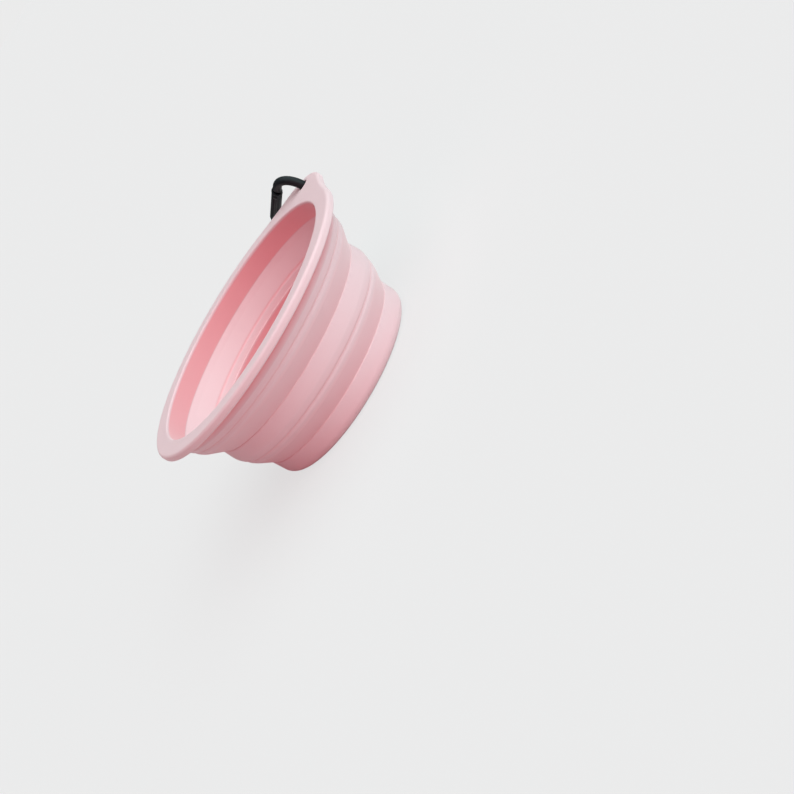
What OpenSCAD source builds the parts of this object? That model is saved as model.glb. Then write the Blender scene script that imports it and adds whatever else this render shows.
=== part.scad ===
// Collapsible silicone bowl with a snap hook, pulled open.
// Millimetres, +Z up. The origin is the centre of the base's underside, and +X points to the tab.
// Two thin conical webs join three stiff rings. Each web turns inside out when the bowl is pushed flat.
// A ring draws in below its shoulder, and the web starts there, in a groove above its own bead.

/* [Rim] */
// Outer diameter of the flange
rim_d = 130; // [122:1:145]
// Thickness of the flange and its tab
rim_t = 3.5; // [2.8:0.1:4.5]
// Width of the flange, from the mouth to its outer edge
rim_w = 8.7; // [7:0.1:10]
// Radius of the flange's outer edges, as a share of its thickness
rim_edge_share = 0.4; // [0.2:0.05:0.45]
// Radius on the mouth's upper edge
mouth_edge_r = 0.8; // [0.4:0.1:1.5]

/* [Hanging tab] */
// How far the tab stands out beyond the flange
tab_out = 10.2; // [8.8:0.2:14]
// Radius of the tab's round tip
tab_tip_r = 22; // [18:0.5:28]
// Radius of the hollow curves that lead from the flange into the tab
tab_blend_r = 120; // [40:1:150]
// Diameter of the hole for the snap hook
tab_hole_d = 5.2; // [4.8:0.1:6]
// Distance from the tip of the tab to the middle of the hole
tab_hole_inset = 5.8; // [5:0.1:7]

/* [Upper wall] */
// Height of the upper wall, below the flange
upper_wall_h = 8.5; // [7:0.5:12]
// Thickness of the upper wall at its shoulder
upper_wall_t = 1.9; // [1.4:0.1:2.4]
// Radius of the hollow corner under the flange
upper_fillet_r = 1.1; // [0.6:0.1:2]

/* [Middle ring] */
// Height of the middle ring
middle_ring_h = 11.2; // [10:0.1:14]
// Thickness of the middle ring at its top
middle_ring_t = 1.7; // [1.4:0.1:2.4]
// How far the middle ring's shoulder stands out beyond its top
middle_ring_swell = 0.3; // [0.1:0.1:0.8]

/* [Lower ends of the rings] */
// Height of a ring's shoulder above its lower edge
shoulder_h = 4.3; // [3.5:0.1:5]
// Radius on the shoulder
shoulder_r = 3; // [1.5:0.1:4]
// How far a ring draws in from its shoulder to its lower edge
ring_taper = 1.6; // [1:0.1:2]
// Height inside a ring at which its wall starts to lean inwards
lip_h = 2.6; // [2:0.1:3.5]

/* [Folds] */
// Height of each conical web: the bowl drops twice this far at each fold
fold_h = 9.6; // [8:0.1:11]
// How far the upper web steps inwards over its height
upper_step = 6.2; // [5.5:0.1:7]
// How far the lower web steps inwards over its height
lower_step = 4.8; // [4.2:0.1:6]
// Width of a web's top, where it joins a ring's lower edge
fold_top_w = 1.7; // [1.4:0.1:2]
// Thickness of a web just above its bending line
fold_t = 1.1; // [0.9:0.1:1.4]
// Thickness of a web at its foot, where it bends
hinge_t = 0.7; // [0.5:0.1:0.8]
// Height over which a web thins down to its foot
hinge_h = 3; // [2:0.1:4]
// Radius of the bead round a web's top
bead_r = 0.9; // [0.6:0.1:1.2]
// How far the bead stands out beyond the ring's lower edge
bead_out = 0.15; // [0.1:0.05:0.3]

/* [Base] */
// Height of the base wall, above the floor's top face
base_wall_h = 8.2; // [7:0.1:12]
// How far the base wall leans in towards its foot
base_lean = 0.3; // [0:0.1:1.5]
// Thickness of the base wall
base_wall_t = 2; // [1.6:0.1:2.6]
// Thickness of the floor
floor_t = 2.4; // [2:0.1:3]
// Radius of the round edge under the base, which the floor and the base wall share
foot_edge_r = 6; // [3:0.1:7]
// Radius of the hollow corner between the floor and the base wall
floor_fillet_r = 4; // [1:0.1:5]
// Distance from the base's outer side to the groove in the underside
foot_groove_inset = 8.2; // [7.2:0.1:12]
// Width of the groove in the underside
foot_groove_w = 2.4; // [1.6:0.1:4]
// Depth of the groove in the underside
foot_groove_depth = 0.5; // [0.3:0.1:0.8]

/* [Snap hook] */
// Overall length of the snap hook
hook_l = 50.5; // [46:0.5:60]
// Overall width of the snap hook's rod loop
hook_w = 22.6; // [21:0.1:24]
// Diameter of the rod
rod_d = 4; // [3.6:0.1:4.2]
// Angle of the hook's long axis below the horizontal, as it hangs in the photograph
hook_drop = 23; // [0:1:60]

/* [Gate] */
// Outer diameter of the gate's tube
gate_d = 4.8; // [4.6:0.1:5.2]
// Bore of the gate's tube
gate_bore = 3.2; // [2.8:0.1:3.4]
// Distance from the end of the near bend to the gate
gate_inset = 4.3; // [4.2:0.1:6]
// Gap between the gate's free end and the frame
gate_end_gap = 0.6; // [0.4:0.1:1]
// Thickness of the frame's two flattened ends
tang_t = 1.5; // [1.2:0.1:1.7]
// Height of the flattened end at the hinge
tang_h = 5; // [4.4:0.1:5.2]
// Height of the flattened nose at the free end
nose_h = 3.5; // [3.2:0.1:3.7]
// Length of the flattened nose
nose_l = 3.8; // [3.4:0.1:4.5]
// Gap on each side of a flattened end in the gate's slots
slot_gap = 0.15; // [0.1:0.05:0.2]
// Diameter of the pivot rivet
rivet_d = 1.6; // [1.2:0.1:1.8]
// Diameter of the latch pin
latch_pin_d = 1.2; // [1:0.1:1.3]
// Length of the bore that holds the plunger and the spring
spring_bore_l = 10.4; // [9.4:0.1:11]
// Diameter of the spring's wire
spring_wire_d = 0.4; // [0.3:0.05:0.45]
// Number of turns in the spring
spring_turns = 9; // [6:1:10]

/* [Hidden] */
$fn = 96;

silicone = [0.86, 0.62, 0.66];
silicone_web = [0.80, 0.52, 0.57];
black_metal = [0.11, 0.13, 0.16];
bare_steel = [0.72, 0.73, 0.75];

// One overrun for every cut, and the running gap of round pieces in their bores
overrun = 1;
fit_gap = 0.03;

// Heights of the planes where the zones meet, from the floor up
base_top_z = floor_t + base_wall_h;
middle_low_z = base_top_z + fold_h;
middle_top_z = middle_low_z + middle_ring_h;
upper_low_z = middle_top_z + fold_h;
rim_low_z = upper_low_z + upper_wall_h;
rim_top_z = rim_low_z + rim_t;

// Radii of the rings
rim_r = rim_d / 2;
mouth_r = rim_r - rim_w;
upper_wall_r = mouth_r + upper_wall_t;
upper_edge_r = upper_wall_r - ring_taper;
middle_ring_r = upper_edge_r - upper_step;
middle_edge_r = middle_ring_r + middle_ring_swell - ring_taper;
base_top_r = middle_edge_r - lower_step;
base_foot_r = base_top_r - base_lean;

// Small details of the rings and webs. A web's foot stands notch_in inside the ring below it.
rim_edge_r = rim_t * rim_edge_share;
shoulder_angle = 23;
ring_top_r = 0.5;
notch_in = 0.25;
bead_drop = 1;
bead_angle = 35;

// The round edge under the base. It passes from the floor to the base wall at the floor's top face.
foot_edge_centre = [base_foot_r - foot_edge_r, foot_edge_r];
foot_split = asin(floor_t / foot_edge_r - 1);

// The tab's outline: a round tip, and two hollow curves that run into the flange.
// The circles overlap a little, so that each pair crosses cleanly.
blend_overlap = 0.15;
tab_reach = rim_r + tab_out;
tab_tip_x = tab_reach - tab_tip_r;
blend_to_rim = rim_r + tab_blend_r - blend_overlap;
blend_to_tip = tab_tip_r + tab_blend_r - blend_overlap;
blend_x = (blend_to_rim ^ 2 - blend_to_tip ^ 2 + tab_tip_x ^ 2) / (2 * tab_tip_x);
blend_y = sqrt(blend_to_rim ^ 2 - blend_x ^ 2);
tab_join_x = blend_x * rim_r / blend_to_rim;
tab_join_y = blend_y * rim_r / blend_to_rim;
tab_tip_join_x = tab_tip_x + (blend_x - tab_tip_x) * tab_tip_r / blend_to_tip;
tab_hole_x = tab_reach - tab_hole_inset;

// The snap hook lies in the plane x = tab_hole_x. Its near bend passes through the tab's hole.
rod_r = rod_d / 2;
bend_r = (hook_w - rod_d) / 2;
straight_l = hook_l - 2 * (bend_r + rod_r);
hook_z = rim_low_z + rim_t / 2;

// Places along the gate, from the end of the near bend
gate_r = gate_d / 2;
shoulder_l = 0.4;
latch_place_share = 0.42;
gate_end = straight_l - gate_end_gap;
rivet_u = gate_inset + gate_r;
tang_end_r = gate_r - slot_gap / 2;
tang_shoulder_u = rivet_u - norm([gate_r, gate_r]) - 2 * slot_gap - shoulder_l / 2;
slot_w = tang_t + 2 * slot_gap;
hinge_slot_end = rivet_u + tang_end_r + 2 * slot_gap;
plunger_u = rivet_u + tang_end_r + slot_gap;
bore_end = plunger_u + spring_bore_l;
nose_tip_u = straight_l - nose_l;
latch_slot_u = nose_tip_u - 2 * slot_gap;
latch_pin_u = nose_tip_u + nose_l * latch_place_share;
latch_drop = latch_pin_d / 2;
rivet_head_t = 0.2;
tang_root_share = 0.8;
rivet_head_share = 0.72;
rivet_head_r = rivet_d * rivet_head_share;

// The plunger: a head that fills the bore, and a stem inside the spring
plunger_head_l = 1.4;
plunger_stem_l = 1.6;
bore_gap = 0.1;
plunger_r = gate_bore / 2 - bore_gap;
spring_r = gate_bore / 2 - bore_gap - spring_wire_d / 2;
plunger_stem_r = spring_r - spring_wire_d / 2 - bore_gap;
spring_start = plunger_u + plunger_head_l + spring_wire_d / 2 + fit_gap;
spring_end = bore_end - spring_wire_d / 2 - fit_gap;
ring_steps = 12;
wire_sides = 6;

// Points along an arc, with the centre, the radius, both angles and the number of steps
function arc(centre, r, from, to, steps = 6) =
    [for (i = [0 : steps]) let (a = from + (to - from) * i / steps) centre + r * [cos(a), sin(a)]];

// The outer side of a ring's lower end, from its edge up to its shoulder at radius r
function ring_end(r, z) = concat([[r - ring_taper, z]],
    arc([r - shoulder_r, z + shoulder_h], shoulder_r, -shoulder_angle, 0, 4));

// Section of the flange: flat, with rounded edges
function rim_section() = concat(
    [[mouth_r, rim_low_z]],
    arc([rim_r - rim_edge_r, rim_low_z + rim_edge_r], rim_edge_r, -90, 0),
    arc([rim_r - rim_edge_r, rim_top_z - rim_edge_r], rim_edge_r, 0, 90),
    arc([mouth_r + mouth_edge_r, rim_top_z - mouth_edge_r], mouth_edge_r, 90, 180));

// Section of a round tab edge, as a disc of radius r
function tip_section(r) = concat(
    [[0, rim_low_z]],
    arc([r - rim_edge_r, rim_low_z + rim_edge_r], rim_edge_r, -90, 0),
    arc([r - rim_edge_r, rim_top_z - rim_edge_r], rim_edge_r, 0, 90),
    [[0, rim_top_z]]);

// Section of the cutter that leaves a hollow outline with round edges
function blend_section(r) = concat(
    [[0, rim_low_z - overrun], [r + rim_edge_r, rim_low_z - overrun]],
    arc([r + rim_edge_r, rim_low_z + rim_edge_r], rim_edge_r, 270, 180),
    arc([r + rim_edge_r, rim_top_z - rim_edge_r], rim_edge_r, 180, 90),
    [[r + rim_edge_r, rim_top_z + overrun], [0, rim_top_z + overrun]]);

module hanging_tab() {
    difference() {
        union() {
            translate([tab_tip_x, 0]) rotate_extrude() polygon(tip_section(tab_tip_r));
            translate([tab_join_x, -tab_join_y, rim_low_z])
                cube([tab_tip_join_x - tab_join_x, 2 * tab_join_y, rim_t]);
        }
        for (side = [-1, 1])
            translate([blend_x, side * blend_y]) rotate_extrude() polygon(blend_section(tab_blend_r));
        translate([0, 0, rim_low_z - overrun]) cylinder(r = mouth_r + rim_edge_r, h = rim_t + 2 * overrun);
    }
}

module rim_flange() {
    color(silicone)
    difference() {
        union() {
            rotate_extrude() polygon(rim_section());
            hanging_tab();
        }
        translate([tab_hole_x, 0, rim_low_z - overrun]) cylinder(d = tab_hole_d, h = rim_t + 2 * overrun);
    }
}

module upper_wall() {
    color(silicone)
    rotate_extrude() polygon(concat(
        [[mouth_r, upper_low_z + lip_h], [upper_edge_r - fold_top_w, upper_low_z]],
        ring_end(upper_wall_r, upper_low_z),
        arc([upper_wall_r + upper_fillet_r, rim_low_z - upper_fillet_r], upper_fillet_r, 180, 90),
        [[mouth_r, rim_low_z]]));
}

module middle_ring() {
    inner_r = middle_ring_r - middle_ring_t;
    color(silicone)
    rotate_extrude() polygon(concat(
        [[inner_r, middle_low_z + lip_h], [middle_edge_r - fold_top_w, middle_low_z]],
        ring_end(middle_ring_r + middle_ring_swell, middle_low_z),
        arc([middle_ring_r - ring_top_r, middle_top_z - ring_top_r], ring_top_r, 0, 90),
        [[inner_r, middle_top_z]]));
}

// The hollow corner inside stops just short of level, so that the wall's foot ends in a small step
module base_wall() {
    fillet_stop = 75;
    fillet_centre = [base_foot_r - base_wall_t - floor_fillet_r, floor_t + floor_fillet_r];
    color(silicone)
    rotate_extrude() polygon(concat(
        arc(foot_edge_centre, foot_edge_r, foot_split, 0, 4),
        [[base_top_r, base_top_z], [base_top_r - base_wall_t, base_top_z]],
        arc(fillet_centre, floor_fillet_r, 0, -fillet_stop),
        [[fillet_centre.x + floor_fillet_r * cos(fillet_stop), floor_t]]));
}

// The floor's underside is flat, with one shallow groove near its edge
module base_floor() {
    groove_r = base_foot_r - foot_groove_inset;
    color(silicone)
    rotate_extrude() polygon(concat(
        [[0, 0], [groove_r - foot_groove_w, 0],
         [groove_r - foot_groove_w + foot_groove_depth, foot_groove_depth],
         [groove_r - foot_groove_depth, foot_groove_depth], [groove_r, 0]],
        arc(foot_edge_centre, foot_edge_r, -90, foot_split, 8),
        [[0, floor_t]]));
}

// Section of a conical web from the ring below, of radius low_r, up to the lower edge of the ring above
module fold_section(low_r, edge_r, low_z) {
    foot_r = low_r - notch_in;
    top_z = low_z + fold_h;
    bead_arc = arc([edge_r + bead_out - bead_r, top_z - bead_drop], bead_r, -bead_angle, bead_angle);
    slope = (bead_arc[0].x - foot_r) / (bead_arc[0].y - low_z);
    across = sqrt(1 + slope ^ 2);
    polygon(concat(
        [[foot_r, low_z]], bead_arc, [[edge_r, top_z], [edge_r - fold_top_w, top_z],
         [foot_r + slope * hinge_h - fold_t * across, low_z + hinge_h],
         [foot_r - hinge_t * across, low_z]]));
}

module upper_fold() {
    color(silicone_web)
    rotate_extrude() fold_section(middle_ring_r, upper_edge_r, middle_top_z);
}

module lower_fold() {
    color(silicone_web)
    rotate_extrude() fold_section(base_top_r, middle_edge_r, base_top_z);
}

// Puts children, drawn flat with x along the hook and y towards the gate, where the hook hangs
module in_hook_plane() {
    translate([tab_hole_x, bend_r, hook_z]) rotate([90, 0, 90]) rotate(-hook_drop) children();
}

module rod_bend(turn) {
    rotate(turn) rotate_extrude(angle = 180) translate([bend_r, 0]) circle(r = rod_r);
}

module along_hook(from, height) {
    translate([from, height, 0]) rotate([0, 90, 0]) children();
}

// The flattened end at the hinge, spread by the press and drilled for the rivet
module hinge_tang() {
    translate([0, bend_r, -tang_t / 2]) linear_extrude(tang_t) difference() {
        union() {
            polygon([[0, -rod_r * tang_root_share], [gate_inset - slot_gap, -tang_h / 2],
                     [rivet_u - tang_h / 4, -tang_h / 2], [rivet_u, -tang_end_r],
                     [rivet_u, tang_end_r], [rivet_u - tang_h / 4, tang_h / 2],
                     [gate_inset - slot_gap, tang_h / 2], [0, rod_r * tang_root_share]]);
            translate([rivet_u, 0]) circle(r = tang_end_r);
        }
        translate([rivet_u, 0]) circle(d = rivet_d + 2 * fit_gap);
    }
}

// The flattened nose, with a notch that catches the latch pin
module nose_tang() {
    notch_r = latch_pin_d / 2 + slot_gap;
    tip_r = nose_h / 4;
    translate([0, bend_r, -tang_t / 2]) linear_extrude(tang_t) difference() {
        polygon(concat(
            [[straight_l + shoulder_l, -nose_h / 2], [straight_l + shoulder_l, nose_h / 2]],
            arc([nose_tip_u + tip_r, nose_h / 2 - tip_r], tip_r, 90, 180),
            arc([nose_tip_u + tip_r, tip_r - nose_h / 2], tip_r, 180, 270)));
        translate([latch_pin_u, -latch_drop]) circle(r = notch_r);
        translate([latch_pin_u - notch_r, -latch_drop - nose_h]) square([2 * notch_r, nose_h]);
    }
}

module carabiner_frame() {
    color(black_metal)
    in_hook_plane() {
        rod_bend(90);
        translate([straight_l, 0]) rod_bend(-90);
        along_hook(0, -bend_r) cylinder(r = rod_r, h = straight_l);
        along_hook(0, bend_r) cylinder(r = rod_r, h = tang_shoulder_u);
        along_hook(tang_shoulder_u, bend_r) cylinder(r1 = rod_r, r2 = tang_t / 2, h = shoulder_l);
        along_hook(straight_l - shoulder_l, bend_r) cylinder(r1 = tang_t / 2, r2 = rod_r, h = shoulder_l);
        hinge_tang();
        nose_tang();
    }
}

module carabiner_gate() {
    color(black_metal)
    in_hook_plane() difference() {
        along_hook(gate_inset, bend_r) cylinder(r = gate_r, h = gate_end - gate_inset);
        along_hook(gate_inset - overrun, bend_r)
            cylinder(d = gate_bore, h = bore_end - gate_inset + overrun);
        translate([gate_inset - overrun, bend_r - gate_d, -slot_w / 2])
            cube([hinge_slot_end - gate_inset + overrun, 2 * gate_d, slot_w]);
        translate([latch_slot_u, bend_r - gate_d, -slot_w / 2])
            cube([gate_end - latch_slot_u + overrun, 2 * gate_d, slot_w]);
        translate([rivet_u, bend_r, -gate_d]) cylinder(d = rivet_d + 2 * fit_gap, h = 2 * gate_d);
        translate([latch_pin_u, bend_r - latch_drop, -gate_d])
            cylinder(d = latch_pin_d + 2 * fit_gap, h = 2 * gate_d);
    }
}

// The rivet has a low button head on each side of the gate
module gate_pivot_rivet() {
    color(black_metal)
    in_hook_plane() translate([rivet_u, bend_r, 0]) {
        cylinder(d = rivet_d, h = gate_d + 2 * fit_gap, center = true);
        for (side = [0, 1]) mirror([0, 0, side])
            translate([0, 0, gate_r + fit_gap])
                cylinder(r1 = rivet_head_r, r2 = rivet_d / 2, h = rivet_head_t);
    }
}

module gate_latch_pin() {
    pin_l = 2 * sqrt(gate_r ^ 2 - (latch_drop + latch_pin_d / 2) ^ 2);
    color(black_metal)
    in_hook_plane() translate([latch_pin_u, bend_r - latch_drop, 0])
        cylinder(d = latch_pin_d, h = pin_l, center = true);
}

module gate_plunger() {
    color(bare_steel)
    in_hook_plane() along_hook(plunger_u, bend_r) {
        cylinder(r = plunger_r, h = plunger_head_l);
        cylinder(r = plunger_stem_r, h = plunger_head_l + plunger_stem_l);
    }
}

// The spring's wire, swept along its helix as one closed tube
module gate_spring() {
    steps = spring_turns * ring_steps;
    rise = spring_end - spring_start;
    climb = atan2(rise, 2 * PI * spring_r * spring_turns);
    wire_r = spring_wire_d / 2;
    function wire_ring(i) = let (turn = 360 * i / ring_steps, outward = [0, cos(turn), sin(turn)],
        upward = [cos(climb), sin(turn) * sin(climb), -cos(turn) * sin(climb)])
        [for (k = [0 : wire_sides - 1]) let (a = 360 * k / wire_sides)
            [rise * i / steps, 0, 0] + spring_r * outward
            + wire_r * (cos(a) * outward + sin(a) * upward)];
    points = [for (i = [0 : steps]) each wire_ring(i)];
    side_faces = [for (i = [0 : steps - 1], k = [0 : wire_sides - 1])
        let (a = i * wire_sides + k, b = i * wire_sides + (k + 1) % wire_sides)
        each [[a, b, b + wire_sides], [a, b + wire_sides, a + wire_sides]]];
    end_faces = [[for (k = [wire_sides - 1 : -1 : 0]) k],
        [for (k = [0 : wire_sides - 1]) steps * wire_sides + k]];
    echo(spring_gap = rise / spring_turns - spring_wire_d);
    color(bare_steel)
    in_hook_plane() translate([spring_start, bend_r, 0])
        polyhedron(points, concat(side_faces, end_faces));
}

rim_flange();
upper_wall();
upper_fold();
middle_ring();
lower_fold();
base_wall();
base_floor();
carabiner_frame();
carabiner_gate();
gate_pivot_rivet();
gate_latch_pin();
gate_plunger();
gate_spring();
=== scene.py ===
# %% [markdown]
# # A collapsible silicone bowl with a snap hook
# The real bowl is one moulding of soft silicone. Three stiff rings carry its shape, and two thin
# webs between them turn inside out when it is pushed flat. A black snap hook hangs from a tab on
# the rim. The CAD model gives the sizes. This script gives the surfaces, the finishes, the light
# and the camera.

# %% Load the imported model
import math
import bmesh
import bpy
import numpy as np
from mathutils import Matrix, Vector


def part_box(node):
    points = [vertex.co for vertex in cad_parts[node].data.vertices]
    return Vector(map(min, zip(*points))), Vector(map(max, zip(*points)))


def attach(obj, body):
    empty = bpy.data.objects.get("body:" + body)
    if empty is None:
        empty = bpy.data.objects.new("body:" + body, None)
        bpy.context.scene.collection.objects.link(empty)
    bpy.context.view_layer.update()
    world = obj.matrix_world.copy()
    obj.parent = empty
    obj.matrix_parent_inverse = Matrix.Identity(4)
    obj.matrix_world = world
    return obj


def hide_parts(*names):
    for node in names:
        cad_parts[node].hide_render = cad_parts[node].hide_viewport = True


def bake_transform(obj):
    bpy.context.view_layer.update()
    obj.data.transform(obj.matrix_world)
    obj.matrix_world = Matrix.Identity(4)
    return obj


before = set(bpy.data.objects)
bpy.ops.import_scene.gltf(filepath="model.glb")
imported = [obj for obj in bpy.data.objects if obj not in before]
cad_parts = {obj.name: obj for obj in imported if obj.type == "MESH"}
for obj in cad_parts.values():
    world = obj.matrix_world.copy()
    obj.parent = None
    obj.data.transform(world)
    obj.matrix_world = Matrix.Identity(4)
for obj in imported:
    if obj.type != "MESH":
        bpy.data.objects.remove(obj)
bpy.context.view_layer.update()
MM = 0.001

# %% [markdown]
# Shader and geometry trees are easier to read as sums than as wires. `Link` wraps an output socket,
# and its operators add Math nodes, so `1 - mask * 0.3` is a line of Python that builds two nodes.
# Every other node comes from `Graph.add`, which sets the node's choices before its sockets,
# because some choices decide which sockets a node has.

# %% Helpers for node trees
class Link:
    """An output socket that can be added, multiplied and so on."""
    def __init__(self, graph, socket):
        self.graph, self.socket = graph, socket

    def maths(self, operation, first, second=None):
        values = {0: first} if second is None else {0: first, 1: second}
        return self.graph.add("ShaderNodeMath", {"operation": operation}, values)

    def __add__(self, other): return self.maths("ADD", self, other)
    def __radd__(self, other): return self.maths("ADD", other, self)
    def __sub__(self, other): return self.maths("SUBTRACT", self, other)
    def __rsub__(self, other): return self.maths("SUBTRACT", other, self)
    def __mul__(self, other): return self.maths("MULTIPLY", self, other)
    def __rmul__(self, other): return self.maths("MULTIPLY", other, self)
    def __truediv__(self, other): return self.maths("DIVIDE", self, other)
    def __rtruediv__(self, other): return self.maths("DIVIDE", other, self)
    def __mod__(self, other): return self.maths("MODULO", self, other)
    def floor(self): return self.maths("FLOOR", self)
    def sine(self): return self.maths("SINE", self)
    def cosine(self): return self.maths("COSINE", self)


class Graph:
    """A node tree, with one method that adds a node of any type."""
    def __init__(self, tree):
        self.tree = tree

    def add(self, kind, settings=None, sockets=None, out=0):
        node = self.tree.nodes.new(kind)
        for name, value in (settings or {}).items():
            if name == "stops":
                ramp = node.color_ramp
                while len(ramp.elements) < len(value):
                    ramp.elements.new(1.0)
                for stop, (place, colour) in zip(ramp.elements, value):
                    stop.position, stop.color = place, colour
            else:
                setattr(node, name, value)
        for key, value in (sockets or {}).items():
            socket = self.pick(node.inputs, key)
            if isinstance(value, Link):
                self.tree.links.new(value.socket, socket)
            else:
                socket.default_value = value
        return Link(self, self.pick(node.outputs, out)) if len(node.outputs) else node

    @staticmethod
    def pick(sockets, key):
        """A socket by its number, its identifier or its name."""
        if isinstance(key, int):
            return sockets[key]
        return next((s for s in sockets if s.identifier == key), None) or sockets[key]


def colour(red, green, blue):
    """A linear colour from the three numbers of a picture, 0 to 255."""
    def linear(c):
        c = c / 255
        return c / 12.92 if c <= 0.04045 else ((c + 0.055) / 1.055) ** 2.4
    return (linear(red), linear(green), linear(blue), 1.0)


def mix(g, share, first, second):
    """A colour between two others."""
    return g.add("ShaderNodeMix", {"data_type": "RGBA"},
                 {"Factor_Float": share, "A_Color": first, "B_Color": second}, out="Result_Color")


print("a picture's 186, 186, 186 is", round(colour(186, 186, 186)[0], 3), "in linear light")

# %% [markdown]
# ## Camera
# The photograph looks down into the bowl from 18 degrees, through a long lens, with the camera
# turned about its own axis by 59 degrees, so that the bowl seems to lean. Track To can't give that
# turn. The matrix is built from the three angles instead, which were fitted to the rim and the base.

# %% Camera
camera_azimuth, camera_elevation, camera_turn = -114.3296, 18.0358, -59.2009
camera_place = Vector((-278.5, -630.21, 201.18)) * MM
lens_length = 77.08

scene = bpy.context.scene
camera = bpy.data.objects.new("camera", bpy.data.cameras.new("camera"))
scene.collection.objects.link(camera)
camera.data.sensor_width = 36
camera.data.lens = lens_length
camera.data.clip_start, camera.data.clip_end = 0.01, 100
camera.matrix_world = (Matrix.Translation(camera_place)
                       @ Matrix.Rotation(math.radians(camera_azimuth + 90), 4, "Z")
                       @ Matrix.Rotation(math.radians(90 - camera_elevation), 4, "X")
                       @ Matrix.Rotation(math.radians(camera_turn), 4, "Z"))
scene.camera = camera
print("camera", round(camera_place.length / MM), "mm from the origin")

# %% [markdown]
# ## Light and floor
# The photograph has soft cool daylight on the tab's side and a plain pale ground. Wide suns give
# the same light all over the floor, so that the ground has no bright patch. The window is low, the
# reflector stands beside the camera, and a soft light hangs overhead. Silicone lets light through,
# so its shaded side glows pink. A low pink light from that side and a faint pink world stand for it.
# Shiny faces see a dark room instead of the pink, and the camera sees a plain pale backdrop.

# %% World and suns
ground_grey = colour(235, 235, 235)
fill_light = (0.08, 0.045, 0.05, 1.0)
dark_room = (0.12, 0.13, 0.14, 1.0)
daylight, silicone_glow = (0.83, 1.0, 0.98), (1.0, 0.15, 0.2)
suns = {
    "window": {"azimuth": -28, "elevation": 8, "level": 0.44, "width": 100, "tone": daylight},
    "reflector": {"azimuth": -76, "elevation": 26, "level": 0.38, "width": 50, "tone": daylight},
    "overhead": {"azimuth": -40, "elevation": 68, "level": 0.66, "width": 90, "tone": (0.88, 1.0, 0.99)},
    "pink_bounce": {"azimuth": -145, "elevation": 15, "level": 0.40, "width": 90, "tone": silicone_glow}}

scene.view_settings.view_transform = "Standard"
world = bpy.data.worlds.new("studio")
scene.world = world
world.use_nodes = True
world.node_tree.nodes.clear()
g = Graph(world.node_tree)
seen = g.add("ShaderNodeLightPath", out="Is Camera Ray")
mirrored = g.add("ShaderNodeLightPath", out="Is Glossy Ray")
through = g.add("ShaderNodeLightPath", out="Is Transmission Ray")
plain = g.add("ShaderNodeBackground", sockets={"Color": ground_grey, "Strength": 1.0})
fill = g.add("ShaderNodeBackground", sockets={"Color": fill_light, "Strength": 1.0})
shine = g.add("ShaderNodeBackground", sockets={"Color": dark_room, "Strength": 1.0})
around = g.add("ShaderNodeMixShader", sockets={0: mirrored, 1: fill, 2: shine})
looked_at = seen.maths("MAXIMUM", seen, through)
backdrop = g.add("ShaderNodeMixShader", sockets={0: looked_at, 1: around, 2: plain})
g.add("ShaderNodeOutputWorld", sockets={"Surface": backdrop})


def add_sun(name, azimuth, elevation, level, width, tone):
    """A wide soft sun. At level 1 a white face turned to it is as bright as white."""
    sun = bpy.data.objects.new(name, bpy.data.lights.new(name, "SUN"))
    sun.data.energy = level * math.pi
    sun.data.color = tone
    sun.data.angle = math.radians(width)
    across, up = math.radians(azimuth), math.radians(elevation)
    towards = Vector((math.cos(up) * math.cos(across), math.cos(up) * math.sin(across), math.sin(up)))
    sun.rotation_mode = "QUATERNION"
    sun.rotation_quaternion = towards.to_track_quat("Z", "Y")
    scene.collection.objects.link(sun)


for name, settings in suns.items():
    add_sun(name, **settings)
print(len(suns), "soft suns and a fill of", fill_light[:3])

# %% [markdown]
# The camera sees the floor mostly as a flat pale grey. A share of real shading in it keeps the
# bowl's shadow. The flat colour is a little cooler than the ground's grey, because the shading
# adds pink.

# %% Floor
floor_reach = 9
flat_share = 0.78
floor_flat, floor_paint = colour(239, 241, 241), colour(220, 216, 217)


def new_finish(name):
    """An empty material and its graph."""
    material = bpy.data.materials.new(name)
    material.use_nodes = True
    material.node_tree.nodes.clear()
    return material, Graph(material.node_tree)


floor_mesh = bpy.data.meshes.new("floor")
floor_corners = [(x * floor_reach, y * floor_reach, 0) for x, y in ((-1, -1), (1, -1), (1, 1), (-1, 1))]
floor_mesh.from_pydata(floor_corners, [], [(0, 1, 2, 3)])
floor = bpy.data.objects.new("floor", floor_mesh)
scene.collection.objects.link(floor)
ground, g = new_finish("ground")
seen = g.add("ShaderNodeLightPath", out="Is Camera Ray")
flat = g.add("ShaderNodeEmission", sockets={"Color": floor_flat, "Strength": 1.0})
matte = g.add("ShaderNodeBsdfDiffuse", sockets={"Color": floor_paint})
mixed = g.add("ShaderNodeMixShader", sockets={0: seen * flat_share, 1: matte, 2: flat})
g.add("ShaderNodeOutputMaterial", sockets={"Surface": mixed})
floor_mesh.materials.append(ground)
print("the floor is", round(flat_share * 100), "per cent flat colour to the camera")

# %% [markdown]
# ## Silicone
# Pigmented silicone is matte and a little waxy. Light enters it and comes back redder, so that
# grooves and inner corners look deeper in colour than open faces. The finish has none of that
# light, so it is painted: a point attribute says how much painted shade a place gets, and the
# finish goes from pale pink to a painted red pink shade along it. The mould leaves a very fine,
# even grain. Faint soft mottling keeps wide faces from looking painted.

# %% Silicone finish
def noise(g, place, size, detail=3.0):
    """Noise between 0 and 1 whose blobs are about size millimetres wide."""
    return g.add("ShaderNodeTexNoise", sockets={"Vector": place, "Scale": 1 / (size * MM),
                                                "Detail": detail, "Roughness": 0.5})


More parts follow.
